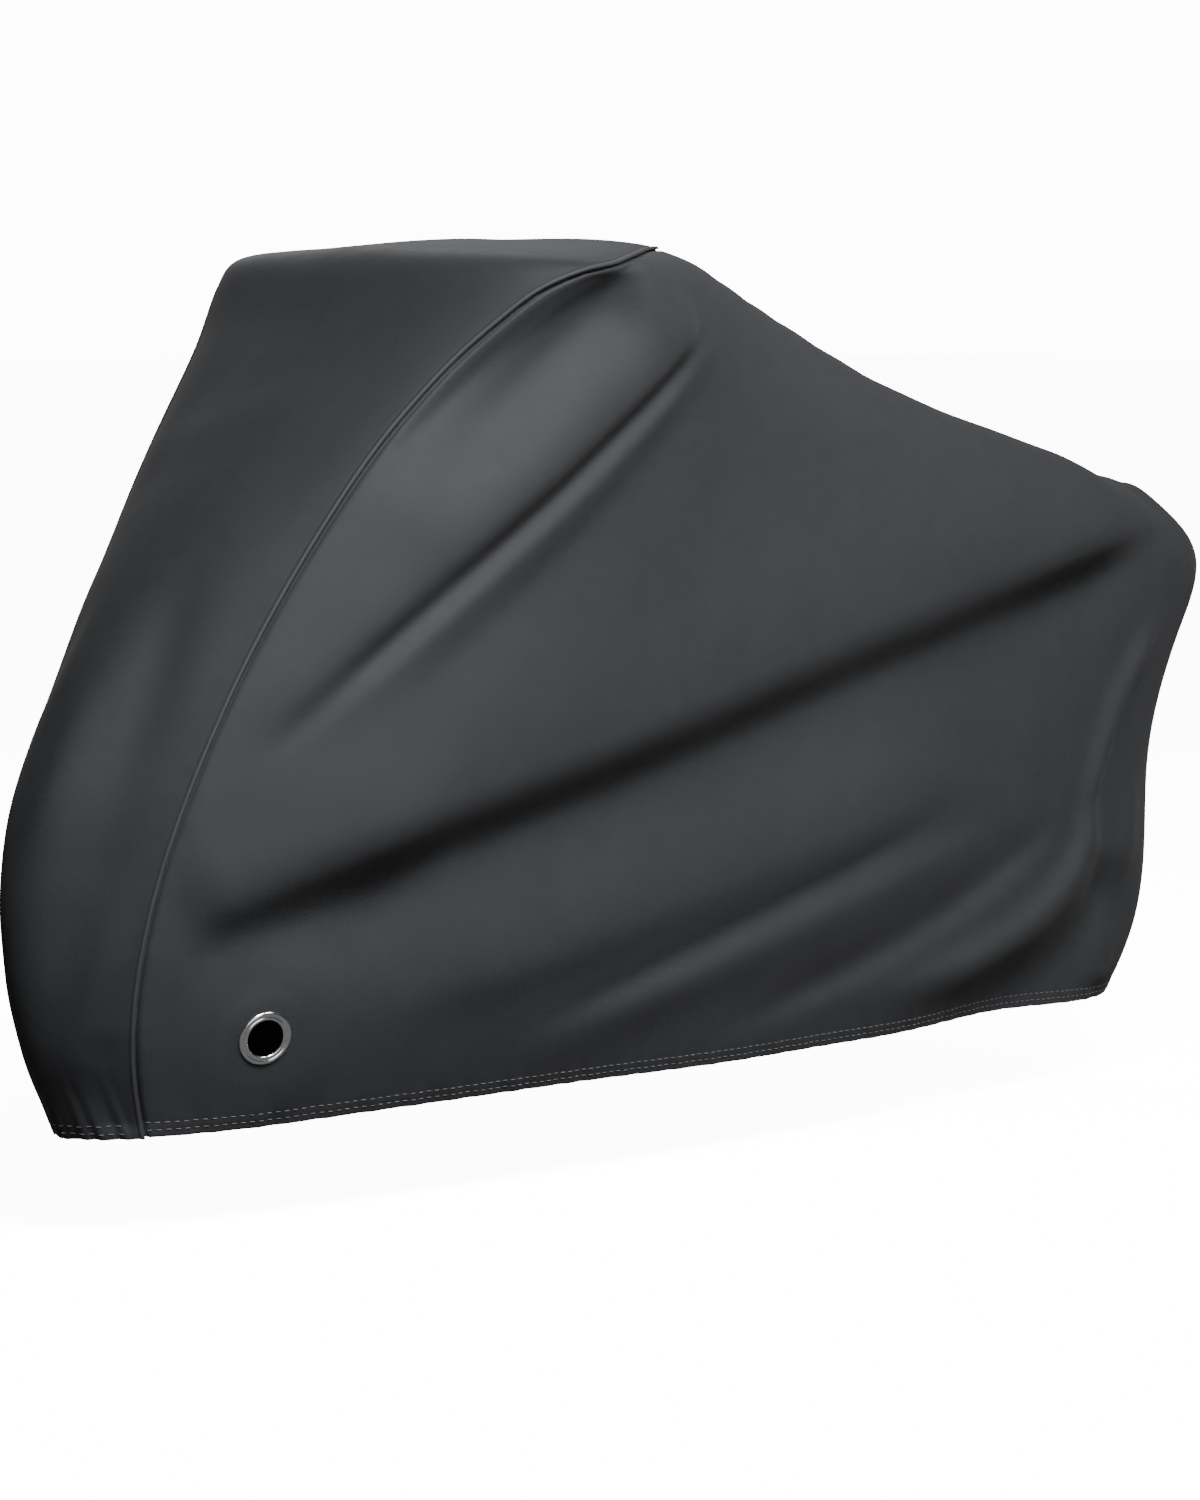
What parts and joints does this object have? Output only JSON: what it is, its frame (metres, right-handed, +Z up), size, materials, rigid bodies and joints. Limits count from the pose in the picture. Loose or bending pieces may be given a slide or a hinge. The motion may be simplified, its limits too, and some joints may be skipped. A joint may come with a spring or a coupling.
{
  "type": "bicycle cover",
  "caption": "Fitted fabric bicycle cover, tall over the handlebar and sloping to the tail, hollow and open along its hem, with a metal eyelet low on each side for a lock.",
  "frame": {"origin": "the point on the inner face of the top, over the middle of the handlebar, where the cover is held up", "axes": "-X towards the front of the bicycle, +X towards its tail, +Z up, +Y to the side away from the picture's camera"},
  "size_m": [1.9549, 0.5824, 0.9662],
  "materials": {
    "hood_cloth": "fine plain weave with a water-repellent coating, near black, low sheen",
    "side_cloth": "fine plain weave with a water-repellent coating, charcoal, low sheen",
    "eyelet_metal": "bright plated, rolled washers"
  },
  "bodies": {
    "root": {"hood_panel": "hood_cloth", "side_panel_left": "side_cloth", "side_panel_right": "side_cloth", "eyelet_left": "eyelet_metal", "eyelet_right": "eyelet_metal"}
  },
  "joints": []
}
